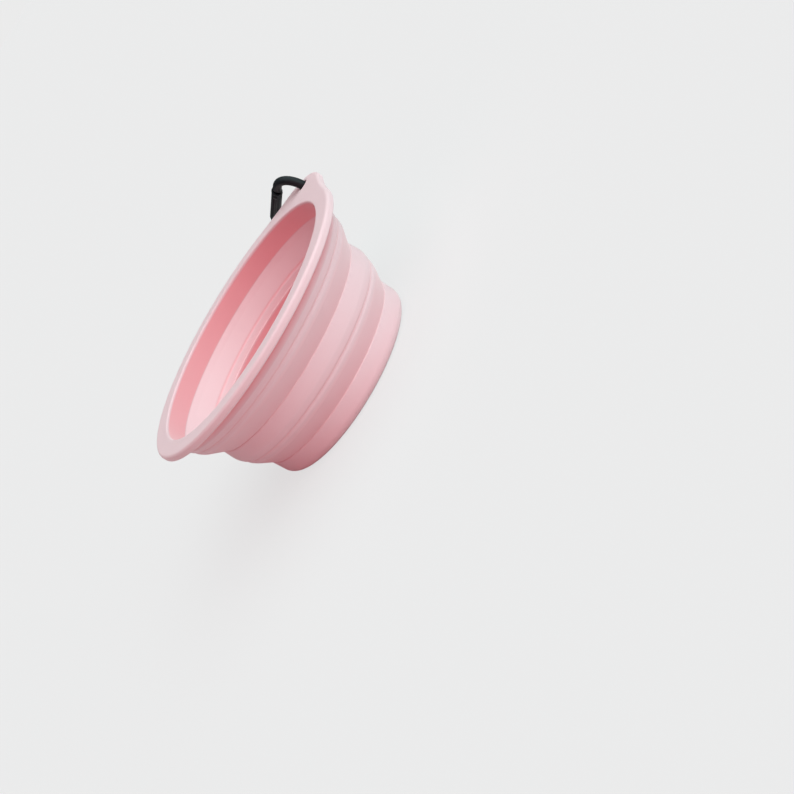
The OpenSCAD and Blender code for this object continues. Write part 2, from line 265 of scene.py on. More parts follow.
silicone, g = new_finish("pink_silicone")
place = g.add("ShaderNodeTexCoord", out="Object")
# The attribute read here is painted shade: how much red pink is painted in where shade falls.
depth = g.add("ShaderNodeAttribute", {"attribute_name": "tint"}, out="Fac")
mottle = noise(g, place, 14, 2.0)
grain = noise(g, place, 0.35)
waves = noise(g, place, 9, 1.0)
open_pink = mix(g, mottle, colour(224, 197, 202), colour(226, 201, 206))
# Painted shade: this red pink stands for shade and for light coming back redder through silicone.
pink_with_painted_shade = mix(g, depth, open_pink, colour(236, 104, 114))
bumped = g.add("ShaderNodeBump", sockets={"Strength": 0.12, "Distance": 0.05 * MM,
                                          "Height": grain + waves * 6})
body = g.add("ShaderNodeBsdfPrincipled", sockets={
    "Base Color": pink_with_painted_shade, "Roughness": 0.52 + grain * 0.1, "IOR": 1.41, "Normal": bumped,
    "Sheen Weight": 0.45, "Sheen Roughness": 0.5, "Sheen Tint": (1, 1, 1, 1)})
g.add("ShaderNodeOutputMaterial", sockets={"Surface": body})
print("silicone finish has", len(silicone.node_tree.nodes), "nodes")

# %% [markdown]
# ## The moulding's outline
# A moulded ring is drawn once, as the outline of its wall, and turned round the axis. The outline
# could be typed as hundreds of points. Instead it is a list of corners, each with the radius of its
# rounding and its painted shade, and `rounded` puts an arc at each corner, the way a mould maker
# draws it.

# %% Rounded outlines
def rounded(corners, arc_steps=5, longest=1.2):
    """Points (r, z, painted shade) of a closed outline. A corner is (r, z, radius, painted shade), in
    mm.
    """
    points = []
    count = len(corners)
    for i, (r, z, radius, tint) in enumerate(corners):
        here = np.array((r, z))
        before, after = (np.array(corners[k % count][:2]) - here for k in (i - 1, i + 1))
        long_before, long_after = np.linalg.norm(before), np.linalg.norm(after)
        before, after = before / long_before, after / long_after
        angle = math.acos(np.clip(before @ after, -1, 1))
        if radius <= 0 or angle > math.pi - 0.02:
            points.append((r, z, tint))
            continue
        reach = min(radius / math.tan(angle / 2), 0.48 * long_before, 0.48 * long_after)
        radius = reach * math.tan(angle / 2)
        middle = here + (before + after) / np.linalg.norm(before + after) * radius / math.sin(angle / 2)
        start, end = here + before * reach - middle, here + after * reach - middle
        sweep = math.acos(np.clip(start @ end / radius ** 2, -1, 1))
        for k in range(arc_steps + 1):
            t = k / arc_steps
            spoke = (math.sin((1 - t) * sweep) * start + math.sin(t * sweep) * end) / math.sin(sweep)
            points.append((*(middle + spoke), tint))
    filled = []
    for i, point in enumerate(points):
        ahead = np.array(points[(i + 1) % len(points)])
        steps = max(1, math.ceil(np.linalg.norm(ahead[:2] - point[:2]) / longest))
        filled += [tuple(np.array(point) + (ahead - point) * k / steps) for k in range(steps)]
    return filled


square = rounded([(0, 0, 1, 0), (4, 0, 1, 0), (4, 4, 1, 0), (0, 4, 1, 0)])
print("a square with four rounded corners has", len(square), "points")

# %% [markdown]
# The rings are turned by a small Geometry Nodes tree. It lays out a grid with one column for each
# step round the axis and one row for each point of the outline, looks up the outline's point for
# each row, and swings it out to its angle. The last column falls on the first, and the two are merged.

# %% Geometry Nodes tree that turns an outline
def turning_tree():
    """Inputs: the outline's points, the steps round the axis and the finish."""
    tree = bpy.data.node_groups.new("turn_outline", "GeometryNodeTree")
    tree.interface.new_socket("Outline", in_out="INPUT", socket_type="NodeSocketGeometry")
    tree.interface.new_socket("Steps", in_out="INPUT", socket_type="NodeSocketInt")
    tree.interface.new_socket("Finish", in_out="INPUT", socket_type="NodeSocketMaterial")
    tree.interface.new_socket("Ring", in_out="OUTPUT", socket_type="NodeSocketGeometry")
    g = Graph(tree)
    inputs = tree.nodes.new("NodeGroupInput")
    outline, steps, finish = (Link(g, inputs.outputs[i]) for i in range(3))
    count = g.add("GeometryNodeAttributeDomainSize", sockets={"Geometry": outline}, out="Point Count")
    rows = count + 1
    grid = g.add("GeometryNodeMeshGrid", sockets={"Vertices X": steps + 1, "Vertices Y": rows})
    index = g.add("GeometryNodeInputIndex")
    angle = (index / rows).floor() / steps * math.tau
    row = index % rows % count
    position = g.add("GeometryNodeInputPosition")
    drawn = g.add("GeometryNodeSampleIndex", {"data_type": "FLOAT_VECTOR"},
                  {"Geometry": outline, "Value": position, "Index": row})
    # The painted shade of each outline point goes onto the ring as a point attribute.
    tint = g.add("GeometryNodeInputNamedAttribute", {"data_type": "FLOAT"}, {"Name": "tint"})
    drawn_painted_shade = g.add("GeometryNodeSampleIndex", {"data_type": "FLOAT"},
                       {"Geometry": outline, "Value": tint, "Index": row})
    radius = g.add("ShaderNodeSeparateXYZ", sockets={0: drawn}, out="X")
    height = g.add("ShaderNodeSeparateXYZ", sockets={0: drawn}, out="Z")
    across, along = radius * angle.cosine(), radius * angle.sine()
    spot = g.add("ShaderNodeCombineXYZ", sockets={0: across, 1: along, 2: height})
    turned = g.add("GeometryNodeSetPosition", sockets={"Geometry": grid, "Position": spot})
    shade_stored = g.add("GeometryNodeStoreNamedAttribute", {"data_type": "FLOAT", "domain": "POINT"},
                   {"Geometry": turned, "Name": "tint", "Value": drawn_painted_shade})
    merged = g.add("GeometryNodeMergeByDistance", sockets={"Geometry": shade_stored, "Distance": 0.002 * MM})
    real = g.add("GeometryNodeRealizeInstances", sockets={"Geometry": merged})
    finished = g.add("GeometryNodeSetMaterial", sockets={"Geometry": real, "Material": finish})
    g.add("NodeGroupOutput", sockets={0: finished})
    return tree


turn_outline = turning_tree()
print("the turning tree has", len(turn_outline.nodes), "nodes")

# %% [markdown]
# The export wants plain meshes. Each stand-in's modifiers are worked out once, the result becomes a
# plain mesh of its own, and the stand-in is removed. Its faces are then turned to point outwards.

# %% From a stand-in to a finished piece
ring_steps = 256


def outwards(made):
    """The same mesh with its faces pointing out."""
    shell = bmesh.new()
    shell.from_mesh(made)
    bmesh.ops.recalc_face_normals(shell, faces=shell.faces)
    shell.to_mesh(made)
    shell.free()
    return made


def as_piece(name, made, sharp_angle=35):
    """A shown object from a finished mesh: normals outwards, smooth but for sharp corners."""
    outwards(made)
    made.name = name
    made.polygons.foreach_set("use_smooth", [True] * len(made.polygons))
    made.set_sharp_from_angle(angle=math.radians(sharp_angle))
    piece = bpy.data.objects.new(name, made)
    scene.collection.objects.link(piece)
    print(f"{name}: {len(made.polygons)} faces")
    return piece


def evaluated_mesh(piece):
    """The mesh that an object's modifiers give. The object is removed."""
    made = bpy.data.meshes.new_from_object(piece.evaluated_get(bpy.context.evaluated_depsgraph_get()))
    bpy.data.objects.remove(piece)
    return made


def store_painted_shade(mesh, shade_values):
    """Give every point of a mesh its painted shade."""
    stored = mesh.attributes.new("tint", "FLOAT", "POINT")
    stored.data.foreach_set("value", np.array(shade_values, dtype=np.float32))


def turned(name, outline, finish):
    """A ring turned from an outline in millimetres."""
    drawing = bpy.data.meshes.new(name)
    count = len(outline)
    edges = [(i, (i + 1) % count) for i in range(count)]
    drawing.from_pydata([(r * MM, 0, z * MM) for r, z, _ in outline], edges, [])
    store_painted_shade(drawing, [tint for _, _, tint in outline])
    stand_in = bpy.data.objects.new(name, drawing)
    scene.collection.objects.link(stand_in)
    turner = stand_in.modifiers.new("turn", "NODES")
    turner.node_group = turn_outline
    items = {item.name: item.identifier for item in turn_outline.interface.items_tree}
    turner[items["Steps"]] = ring_steps
    turner[items["Finish"]] = finish
    return as_piece(name, evaluated_mesh(stand_in))


print("a ring is turned in", ring_steps, "steps")

# %% [markdown]
# ## The moulding
# The heights come from the CAD nodes' boxes, so that the pieces meet where the CAD ones do.
# A web bends between two bodies, and a blended piece may cross one joint. So the base is turned in
# one piece with the web above it, the middle ring with the next web, and the rim stays alone. The
# two seams are then in the fine grooves above the webs, where the real bowl has a line too.

# %% Shared sizes of the moulding, in millimetres
def box_mm(node):
    """A CAD node's lowest and highest corners."""
    low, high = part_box(node)
    return [c / MM for c in low], [c / MM for c in high]


floor_top = box_mm("base_floor")[1][2]
base_top = box_mm("base_wall")[1][2]
middle_low, middle_top = (corner[2] for corner in box_mm("middle_ring"))
upper_low, rim_low = (corner[2] for corner in box_mm("upper_wall"))
rim_top = box_mm("rim_flange")[1][2]
tab_reach = box_mm("rim_flange")[1][0]

rim_w, upper_wall_t, middle_ring_t, base_wall_t = 8.7, 1.9, 1.7, 2.0
upper_step, lower_step, ring_taper, ring_swell, base_lean = 6.2, 4.8, 1.6, 0.3, 0.3
rim_r = -box_mm("rim_flange")[0][0]
mouth_r = rim_r - rim_w
upper_r = mouth_r + upper_wall_t
upper_edge_r = upper_r - ring_taper
middle_r = upper_edge_r - upper_step
middle_edge_r = middle_r + ring_swell - ring_taper
base_r = middle_edge_r - lower_step
foot_r = base_r - base_lean
notch_in, fold_top_w, lip_h = 0.25, 1.7, 2.6
print("rings at radius", [round(r, 2) for r in (rim_r, mouth_r, upper_r, middle_r, base_r)])

# %% [markdown]
# Each ring draws in below its shoulder and ends at a fine groove. The web starts under that groove
# with a short upright band, which catches the light as the bright line above each fold. Further
# down the web is a plain cone to a sharp notch. It is thinnest at its foot, where it bends over the
# ring below, and the inside shows that bending line as a fine groove.
#
# In the next cell, lengths that end in out or in are told sideways from the edge radius, which is the
# CAD's radius at the joint between a ring and its web. Those that end in h, half or drop are told up
# or down.

# %% Sizes of the groove and of the web, in millimetres
web_t, hinge_t, hinge_h = 1.1, 0.7, 3.0
groove_out, groove_half, bead_out, lip_out = 0.24, 0.14, 0.34, 0.42
nose_out, nose_h, shoulder_h = 0.97, 1.05, 4.1
band_top_out, band_top_drop, band_low_out, band_low_drop = 0.18, 0.5, 0.15, 1.5
cone_in, cone_drop = 0.85, 3.7
notch_h, crease_h, crease_deep = 0.6, 0.8, 0.2
seam_lean, inner_shade_h = 0.52, 0.5
middle_groove, upper_groove = 0.8, 1.3
print("a groove is", 2 * groove_half, "mm wide at its mouth")

# %% [markdown]
# A ring's lower end, the top of its web and the inner side are drawn by functions, because two rings
# and two webs share them. The groove lies a little above the joint, so that the seam is hidden in it.

# %% Corners of a ring's lower end and of a web
def ring_end(edge, z, groove):
    """Up the outer side of a ring's lower end. The groove is this far above the joint's plane."""
    seam_z = z + groove
    # The last numbers are painted shade: most in the groove, none on the shoulder.
    return [
        (edge + groove_out, seam_z, 0, 0.2),
        (edge + lip_out, seam_z + groove_half, 0, 0.15),
        (edge + nose_out, seam_z + nose_h, 1, 0.05),
        (edge + ring_taper, z + shoulder_h, 4, 0.0)]


def seam_inside(edge, groove):
    """The radius at which a seam comes out on the inner side."""
    return edge - fold_top_w + seam_lean * groove


def ring_inside(inner, edge, z, groove):
    """Down the inner side of a ring, to the seam with its web."""
    # The last numbers are painted shade: deep above the lip on the inner side, light below it.
    return [
        (inner, z + lip_h + inner_shade_h, 0, 0.45),
        (inner, z + lip_h, 0.6, 0.08),
        (seam_inside(edge, groove), z + groove, 0, 0.08)]


def web_corners(foot, edge, low_z, top_z, groove):
    """Up the outer side of a web to the groove, and down its inner side."""
    slope = (edge - foot) / (top_z - low_z)
    across = math.hypot(1, slope)
    crease_r, crease_z = foot + slope * hinge_h - web_t * across, low_z + hinge_h
    seam_z = top_z + groove
    # The last numbers are painted shade: some on the down-facing cone, more in groove, foot and crease.
    return [
        (foot, low_z, 0, 0.15),
        (foot + slope * notch_h, low_z + notch_h, 0, 0.2),
        (edge - cone_in, seam_z - cone_drop, 3, 0.12),
        (edge + band_low_out, seam_z - band_low_drop, 2.5, 0.0),
        (edge + band_top_out, seam_z - band_top_drop, 0.4, 0.0),
        (edge + bead_out, seam_z - groove_half, 0, 0.1),
        (edge + groove_out, seam_z, 0, 0.2),
        (seam_inside(edge, groove), seam_z, 0, 0.08),
        (edge - fold_top_w, top_z, 2, 0.08),
        (crease_r + slope * crease_h, crease_z + crease_h, 0.2, 0.1),
        (crease_r + crease_deep, crease_z, 0.2, 0.35),
        (crease_r - slope * crease_h, crease_z - crease_h, 0.2, 0.1),
        (foot - hinge_t * across, low_z, 0.2, 0.2)]


print("a web has", len(web_corners(50, 56, 31, 41, upper_groove)), "corners")

# %% [markdown]
# The weight of each point says how far it follows the upper ring. On a web that turns inside out
# without stretching its thickness, it grows evenly with the distance from the foot, measured flat.
# Near both ends it follows the distance along the web instead, so that the thick ends turn with it.

# %% Blend weights
soft_end, end_share, rigid_top = 0.15, 0.2, 1.3


def bend_share(s):
    """Share of the fold's travel at share s of the web's height: even, with short soft ends."""
    s = np.clip(s, 0, 1)
    steep = 1 / (1 - soft_end)
    near = steep * s ** 2 / (2 * soft_end)
    far = 1 - steep * (1 - s) ** 2 / (2 * soft_end)
    return np.where(s < soft_end, near, np.where(s > 1 - soft_end, far, steep * (s - soft_end / 2)))


def folding(piece, low_r, edge_r, low_z, top_z):
    """Work out how far each point of a piece follows the upper ring. The weights are not kept."""
    low_z * MM
    top_z * MM
    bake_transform(piece)
    place = np.array([v.co for v in piece.data.vertices]) / MM
    r, z = np.hypot(place[:, 0], place[:, 1]), place[:, 2]
    foot, top = low_r - hinge_t / 2, edge_r - fold_top_w / 2
    run, rise = top - foot, top_z - low_z
    along = ((r - foot) * run + (z - low_z) * rise) / math.hypot(run, rise) ** 2
    inside = np.clip(np.minimum(along, 1 - along) / end_share, 0, 1)
    share = bend_share(along + inside * ((r - foot) / run - along))
    share[z <= low_z + 0.01] = 0
    share[z >= top_z - rigid_top] = 1
    print(f"{piece.name}: bends over {rise:.1f} mm")


print("weights at a fifth of the way:", bend_share(np.array([0.2]))[0].round(3))

# %% [markdown]
# The base has a broad round foot and a shallow groove underneath, near its edge.

# %% Base with the lower web
base_inner, base_web_r = base_r - base_wall_t, base_r - notch_in
foot_edge_r, floor_fillet_r = 6, 4
top_edge_h, inner_edge_h = 0.4, 0.05
foot_groove_inset, foot_groove_w, foot_groove_deep = 8.2, 2.4, 0.5
foot_groove_r = foot_r - foot_groove_inset

# The last numbers are painted shade, deepest in the groove underneath.
base_corners = (
    [(0, 0, 0, 0.1),
     (foot_groove_r - foot_groove_w, 0, 0, 0.1),
     (foot_groove_r - foot_groove_w + foot_groove_deep, foot_groove_deep, 0.15, 0.5),
     (foot_groove_r - foot_groove_deep, foot_groove_deep, 0.15, 0.5),
     (foot_groove_r, 0, 0, 0.1),
     (foot_r, 0, foot_edge_r, 0.05),
     (base_r, base_top - top_edge_h, 0.3, 0.0)]
    + web_corners(base_web_r, middle_edge_r, base_top, middle_low, middle_groove)
    + [(base_inner, base_top - inner_edge_h, 0.35, 0.2),
       (base_inner - base_lean, floor_top, floor_fillet_r, 0.2),
       (0, floor_top, 0, 0.1)])
base_shell = turned("silicone_base", rounded(base_corners, arc_steps=8, longest=0.6), silicone)

# %% [markdown]
# The middle ring stands on the first seam and carries the upper web. The photograph shows a deeper
# pink at the step inside it, where shade falls, so painted shade is put at its inner top corner.

# %% Middle ring with the upper web
middle_inner, middle_web_r = middle_r - middle_ring_t, middle_r - notch_in
waist_h, waist_curve_r, step_h = 6, 6, 1.2

middle_corners = (
    ring_end(middle_edge_r, middle_low, middle_groove)
    + [(middle_edge_r + ring_taper, middle_low + waist_h, waist_curve_r, 0.0),
       (middle_r, middle_top - top_edge_h, 0.3, 0.0)]
    + web_corners(middle_web_r, upper_edge_r, middle_top, upper_low, upper_groove)
    + [(middle_inner, middle_top - inner_edge_h, 0.35, 0.2),
       (middle_inner, middle_top - step_h, 0, 0.55)]
    + ring_inside(middle_inner, middle_edge_r, middle_low, middle_groove))
middle_shell = turned("silicone_middle", rounded(middle_corners, longest=0.6), silicone)

# %% [markdown]
# ## Rim, with its hanging tab
# The flange is round but for the tab, whose tip is an arc that runs into the flange through two
# hollow curves. The rim is lofted: the same section goes round the bowl, its inner rings are
# circles, and its outer rings follow the tab's outline at an even distance.

# %% The rim's outline in plan
tip_r, blend_r = 22.0, 120.0
tip_x = tab_reach - tip_r
blend_x = ((rim_r + blend_r) ** 2 - (tip_r + blend_r) ** 2 + tip_x ** 2) / (2 * tip_x)
blend_y = math.sqrt((rim_r + blend_r) ** 2 - blend_x ** 2)
join_angle = math.atan2(blend_y, blend_x)
tip_angle = math.atan2(blend_y, blend_x - tip_x)


def plan_arc(centre, r, start, end, steps, outward=1):
    """Points and outward directions along an arc in plan."""
    angles = [start + (end - start) * i / steps for i in range(steps)]
    spokes = [(math.cos(a), math.sin(a)) for a in angles]
    return [(centre[0] + r * x, centre[1] + r * y, outward * x, outward * y) for x, y in spokes]


plan = np.array(
    plan_arc((tip_x, 0), tip_r, -tip_angle, tip_angle, 48)
    + plan_arc((blend_x, blend_y), blend_r, tip_angle + math.pi, join_angle + math.pi, 20, -1)
    + plan_arc((0, 0), rim_r, join_angle, math.tau - join_angle, 300)
    + plan_arc((blend_x, -blend_y), blend_r, math.pi - join_angle, math.pi - tip_angle, 20, -1))
print("tab reaches", round(plan[:, 0].max(), 2), "mm from the axis")

# %% [markdown]
# The section runs from the mouth over the top, round the outer edge, back under the flange and
# down the upper wall to its lower end. A ring of the loft is a circle or the outline moved inwards.

# %% Rings for the loft
plan_angle = np.arctan2(plan[:, 1], plan[:, 0])


def circle_ring(r, z):
    """A circle with a point at the angle of each point of the outline."""
    return np.stack([r * np.cos(plan_angle), r * np.sin(plan_angle), np.full(len(plan), z)], 1)


def outline_ring(inset, z):
    """The outline, moved inwards."""
    flat_ring = plan[:, :2] - inset * plan[:, 2:]
    return np.column_stack([flat_ring, np.full(len(plan), z)])


def quarter(steps):
    """Angles from 0 to a quarter turn."""
    return np.linspace(0, math.pi / 2, steps)


def between(first, last, count):
    """Rings that lie evenly between two others."""
    return [first + (last - first) * k / (count + 1) for k in range(1, count + 1)]


rings, ring_painted_shades = [], []


def put(new_rings, tint):
    """Add rings to the loft, all with one painted shade."""
    rings.extend(new_rings)
    ring_painted_shades.extend([tint] * len(new_rings))


print("a ring of the loft has", len(plan), "points")

# %% [markdown]
# The flange is pale all over. The corner under it, where it meets the upper wall, lies in the
# flange's shade and looks deepest in colour, so it gets the strongest painted shade on the bowl.

# %% Flange, from the mouth to the corner under it
edge_r, lower_edge_r, mouth_edge_r, fillet_r = 1.4, 0.8, 0.8, 1.1

put([circle_ring(mouth_r + mouth_edge_r * (1 - math.cos(a)), rim_top - mouth_edge_r * (1 - math.sin(a)))
     for a in quarter(7)], 0.0)
put(between(rings[-1], outline_ring(edge_r, rim_top), 5), 0.0)
edge_arc = [(1 - math.sin(a), 1 - math.cos(a)) for a in quarter(8)]
put([outline_ring(edge_r * inset, rim_top - edge_r * drop) for inset, drop in edge_arc], 0.0)
put([outline_ring(lower_edge_r * inset, rim_low + lower_edge_r * rise)
     for inset, rise in reversed(edge_arc)], 0.0)
# Painted shade under the flange, strongest in the fillet.
put(between(rings[-1], circle_ring(upper_r + fillet_r, rim_low), 5), 0.3)
put([circle_ring(upper_r + fillet_r * (1 - math.sin(a)), rim_low - fillet_r * (1 - math.cos(a)))
     for a in quarter(6)], 0.75)
print("the flange has", len(rings), "rings")

# %% [markdown]
# The wall under the flange ends like the middle ring does, so it is drawn with the same corners.
# Its rings go down the outer side and up the inner side, and the last ones close the section.

# %% Upper wall
shade_drop = 4
corner_z = rim_low - fillet_r
# The last numbers are painted shade: most in the corner under the flange and on the inner wall.
wall_corners = (
    ring_end(upper_edge_r, upper_low, upper_groove)
    + [(upper_r, rim_low - shade_drop, 0, 0.1),
       (upper_r, corner_z, 0, 0.5),
       (mouth_r, corner_z, 0, 0.45)]
    + ring_inside(mouth_r, upper_edge_r, upper_low, upper_groove))
wall = rounded(wall_corners)
turn = next(i for i, (_, z, _) in enumerate(wall) if z > corner_z - 0.01)
outer_side, inner_side = wall[:turn], [point for point in wall[turn:] if point[0] < mouth_r + 0.01]
for r, z, tint in outer_side[::-1] + inner_side[::-1]:
    put([circle_ring(r, z)], tint)
# The inner wall up to the mouth gets painted shade as well.
put(between(rings[-1], rings[0], 5), 0.45)
print("rim section has", len(rings), "rings of", len(plan), "points")

# %% [markdown]
# A loft joins each ring to the next with four-sided faces. The rim's last ring joins its first one.
# The hook's rod, further down, is lofted by the same function, and its two ends are closed with a face.

# %% Loft the rim
def loft(name, rings, shade_values, closed=True):
    """A mesh through rings of equal count. Each ring closes on itself."""
    count, around = len(rings), len(rings[0])
    faces = [(i * around + k, i * around + (k + 1) % around,
              (i + 1) % count * around + (k + 1) % around, (i + 1) % count * around + k)
             for i in range(count if closed else count - 1) for k in range(around)]
    if not closed:
        faces += [tuple(range(around)), tuple((count - 1) * around + k for k in range(around))]
    made = bpy.data.meshes.new(name)
    made.from_pydata([tuple(p * MM) for p in np.concatenate(rings)], [], faces)
    store_painted_shade(made, np.repeat(shade_values, around))
    return made


rim_mesh = loft("silicone_rim", rings, ring_painted_shades)
print("the rim has", len(rim_mesh.polygons), "faces")

# %% [markdown]
# The hole for the hook is cut afterwards with a Boolean, and its two edges get a small rounding,
# as a mould pin leaves them. The same functions cut the hook's holes later on.

# %% Cutting with a rod
rod_sides = 48


def cut(made, cutter_mesh):
    """A mesh with another one taken away."""
    target, cutter = (bpy.data.objects.new("cutting", mesh) for mesh in (made, cutter_mesh))
    for thing in (target, cutter):
        scene.collection.objects.link(thing)
    tool = target.modifiers.new("cut", "BOOLEAN")
    tool.operation, tool.solver, tool.object = "DIFFERENCE", "EXACT", cutter
    result = evaluated_mesh(target)
    bpy.data.objects.remove(cutter)
    return result


def cutting_rod(x, y, low_z, high_z, r):
    """An upright closed rod, used for cutting."""
    made = bmesh.new()
    bmesh.ops.create_cone(made, cap_ends=True, segments=rod_sides, radius1=r, radius2=r,
                          depth=high_z - low_z,
                          matrix=Matrix.Translation((x, y, (low_z + high_z) / 2)))
    made.transform(Matrix.Scale(MM, 4))
    mesh = bpy.data.meshes.new("rod")
    made.to_mesh(mesh)
    made.free()
    return mesh


def painted(made, finish):
    """The same mesh with one finish all over."""
    made.materials.clear()
    made.materials.append(finish)
    return made


print("a cutting rod has", rod_sides, "sides")

# %% [markdown]
# Bevel wants the edges that it works on. Those of the hole are the level ones whose two ends both
# lie at the hole's radius.

# %% Cut the hook's hole
hole_inset, hole_r, hole_edge_r = 5.8, 2.6, 0.4
hole_x = tab_reach - hole_inset
rim_mesh = cut(outwards(rim_mesh), cutting_rod(hole_x, 0, rim_low - 1, rim_top + 1, hole_r))
shell = bmesh.new()
shell.from_mesh(rim_mesh)


def on_hole(edge):
    """Whether a level edge lies on the hole's wall."""
    ends = [vertex.co / MM for vertex in edge.verts]
    level = abs(ends[0].z - ends[1].z) < 0.001
    return level and all(abs(math.hypot(end.x - hole_x, end.y) - hole_r) < 0.02 for end in ends)


hole_edges = [edge for edge in shell.edges if on_hole(edge)]
bmesh.ops.bevel(shell, geom=hole_edges, offset=hole_edge_r * MM, segments=3, affect="EDGES", profile=0.5)
shell.to_mesh(rim_mesh)
shell.free()
rim_shell = as_piece("silicone_rim", painted(rim_mesh, silicone))
print("hole edges rounded:", len(hole_edges))

# %% [markdown]
# Each shown piece hides the CAD nodes that it stands in for. The bending weights of the base and
# the middle ring are worked out but not kept, and the rim is hung on the rim's body as it is.

# %% Hand over the silicone
for piece, nodes in ((base_shell, ("base_floor", "base_wall", "lower_fold")),
                     (middle_shell, ("middle_ring", "upper_fold")),
                     (rim_shell, ("rim_flange", "upper_wall"))):
    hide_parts(*nodes)
folding(base_shell, base_web_r, middle_edge_r, base_top, middle_low)
folding(middle_shell, middle_web_r, upper_edge_r, middle_top, upper_low)
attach(rim_shell, "rim")

# %% [markdown]
# ## Snap hook
# The hook is aluminium rod with a satin black coating. It is seen in the photograph as dark blue
# grey with soft long highlights. The coating has a fine grain, and it is worn to a lighter grey
# in small spots.

# %% Black coating and steel
black, g = new_finish("black_coating")
place = g.add("ShaderNodeTexCoord", out="Object")
grain = noise(g, place, 0.12)
cloud = noise(g, place, 3.0)
rubbed = g.add("ShaderNodeValToRGB", {"stops": [(0.62, (0, 0, 0, 1)), (0.75, (1, 1, 1, 1))]},
               {"Fac": noise(g, place, 0.8, 5.0)})
worn = rubbed * 0.35
paint = mix(g, worn, colour(20, 27, 31), colour(46, 51, 55))
bumped = g.add("ShaderNodeBump", sockets={"Strength": 0.2, "Distance": 0.02 * MM, "Height": grain})
coat = g.add("ShaderNodeBsdfPrincipled", sockets={
    "Base Color": paint, "Roughness": 0.42 + grain * 0.08 + cloud * 0.06 - worn * 0.1,
    "Metallic": worn * 0.6, "IOR": 1.5, "Specular IOR Level": 0.2, "Normal": bumped})
g.add("ShaderNodeOutputMaterial", sockets={"Surface": coat})

steel, g = new_finish("drawn_steel")
place = g.add("ShaderNodeTexCoord", out="Object")
drawn_lines = noise(g, place, 0.1, 2.0)
tone = mix(g, drawn_lines, colour(168, 170, 174), colour(196, 198, 200))
metal = g.add("ShaderNodeBsdfPrincipled", sockets={
    "Base Color": tone, "Roughness": 0.25 + drawn_lines * 0.15, "Metallic": 1.0})
g.add("ShaderNodeOutputMaterial", sockets={"Surface": metal})
print("hook finishes:", black.name, steel.name)

# %% [markdown]
# The hook is drawn flat, with its long side along x and the gate's side at plus y, and then hung
# in the tab's hole, where it drops 23 degrees below level. `hang` is the same turn and shift that the
# CAD source uses.

# %% Where the hook hangs
rod_r, hook_l, hook_w, hook_drop = 2.0, 50.5, 22.6, 23
bend_r = hook_w / 2 - rod_r
straight = hook_l - 2 * (bend_r + rod_r)
hang = (Matrix.Translation(Vector((hole_x, bend_r, (rim_low + rim_top) / 2)) * MM)
        @ Matrix.Rotation(math.radians(90), 4, "Z")
        @ Matrix.Rotation(math.radians(90), 4, "X")
        @ Matrix.Rotation(math.radians(-hook_drop), 4, "Z"))
print("straight part", round(straight, 2), "mm, bend radius", round(bend_r, 2), "mm")

# %% [markdown]
# One rod makes the whole frame. Its two ends are pressed flat: one is drilled for the gate's rivet
# and the other is the nose. A loft follows the rod and lets its section go from round to flat. A
# section is a superellipse, whose power says how square it is: 2 is round, and 8 is nearly a box.

# %% Sections of the rod
gate_inset, gate_r, slot_gap, fit_gap = 4.3, 2.4, 0.15, 0.03
tang_t, tang_h, nose_h, nose_l = 1.5, 5.0, 3.5, 3.8
flat_power, section_points = 8, 40
rivet_u = gate_inset + gate_r
tang_r = gate_r - slot_gap / 2
nose_tip = straight - nose_l


def bulge(wave, power):
    """A sine or cosine, bent so that the section gets squarer as the power grows."""
    return np.sign(wave) * np.abs(wave) ** (2 / power)


def station(x, y, direction, high, thick, power=2.0):
    """One ring of the rod: a section across the direction, in the hook's plane."""
    a = np.arange(section_points) * math.tau / section_points
    across = np.array((-math.sin(direction), math.cos(direction), 0))
    return (np.array((x, y, 0.0)) + np.outer(high * bulge(np.cos(a), power), across)
            + np.outer(thick * bulge(np.sin(a), power), (0, 0, 1)))


def gate_side(x, high, thick, power):
    """A ring on the side where the gate is. The rod runs towards smaller x there."""
    return station(x, bend_r, math.pi, high, thick, power)


def bend(centre_x, start, end, steps=41):
    """Rings round one of the hook's two bends."""
    return [station(centre_x + bend_r * math.cos(a), bend_r * math.sin(a), a + math.pi / 2, rod_r, rod_r)
            for a in np.linspace(start, end, steps)]


print("the flattened ends are", tang_t, "mm thick, and a section has", section_points, "points")

# %% [markdown]
# The rod is followed from the drilled end's round tip to the nose. The drilled end is pressed flat, and
# the metal goes sideways, so that its section gets higher as it gets thinner. The nose is flat and
# lower than the rod, because it goes into the gate's slot.

# %% Follow the rod
flat_half, tang_half, nose_half = tang_t / 2, tang_h / 2, nose_h / 2
stations = []
for a in np.linspace(1.5, 0, 8):
    x = rivet_u + tang_r * math.sin(a)
    half_height = math.sqrt(max(tang_r ** 2 - (x - rivet_u) ** 2, 0.01))
    stations.append(gate_side(x, half_height, flat_half, flat_power))
for x, high, thick, power in (
        (5.4, tang_half, flat_half, flat_power),
        (4.4, tang_half, flat_half, flat_power),
        (3.6, 2.4, flat_half, 6),
        (3.15, 2.22, 0.95, 4),
        (2.7, 2.05, 1.6, 2.6),
        (2.2, rod_r, 1.9, 2.1),
        (1.6, rod_r, rod_r, 2.0),
        (0.8, rod_r, rod_r, 2.0)):
    stations.append(gate_side(x, high, thick, power))
stations += bend(0, math.pi / 2, 3 * math.pi / 2)
for x in np.linspace(0, straight, 12)[1:-1]:
    stations.append(station(x, -bend_r, 0, rod_r, rod_r))
stations += bend(straight, -math.pi / 2, math.pi / 2)
